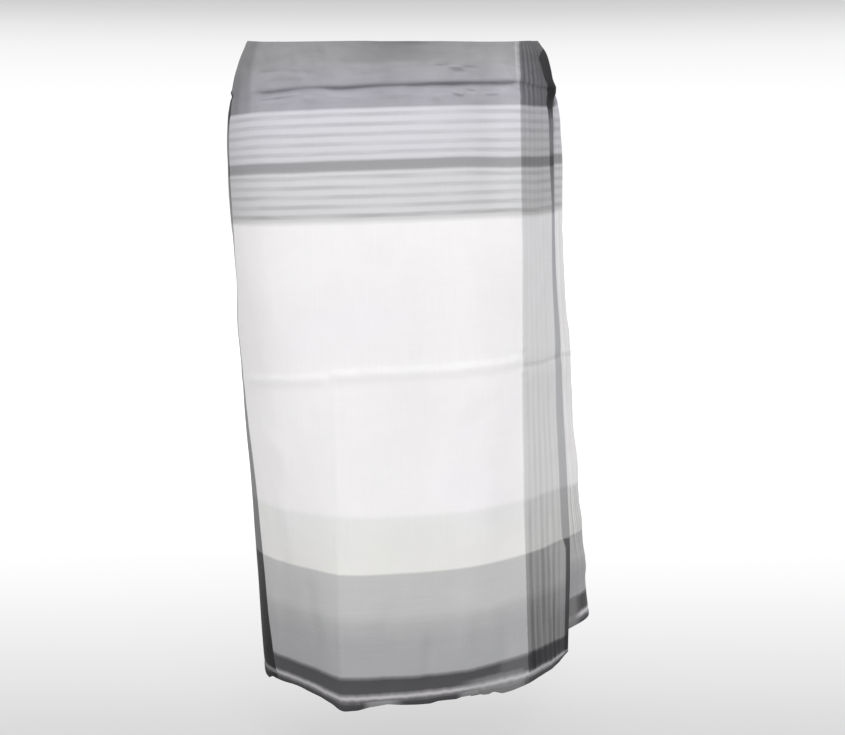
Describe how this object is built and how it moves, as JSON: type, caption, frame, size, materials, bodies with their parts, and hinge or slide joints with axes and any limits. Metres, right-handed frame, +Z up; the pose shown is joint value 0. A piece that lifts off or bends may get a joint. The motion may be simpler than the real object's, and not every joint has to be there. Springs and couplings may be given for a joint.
{
  "type": "sarong",
  "caption": "Woven cotton sarong worn from waist to ankle: an open tube of banded cloth, wrapped over at the front in one wide flat pleat.",
  "frame": {"origin": "middle of the waist mouth, level with the top edge at the viewer's left, where the wearer holds it", "axes": "+Z up, the front faces -Y, +X to the viewer's right"},
  "size_m": [0.5592, 0.4262, 0.974],
  "materials": {
    "front_wrap": "matt woven cotton",
    "head_panel": "matt woven cotton",
    "under_wrap": "matt woven cotton",
    "hip_wrap": "matt woven cotton",
    "back_wrap": "matt woven cotton"
  },
  "bodies": {
    "root": {"front_wrap": "front_wrap", "head_panel": "head_panel", "under_wrap": "under_wrap", "hip_wrap": "hip_wrap", "back_wrap": "back_wrap"}
  },
  "joints": []
}
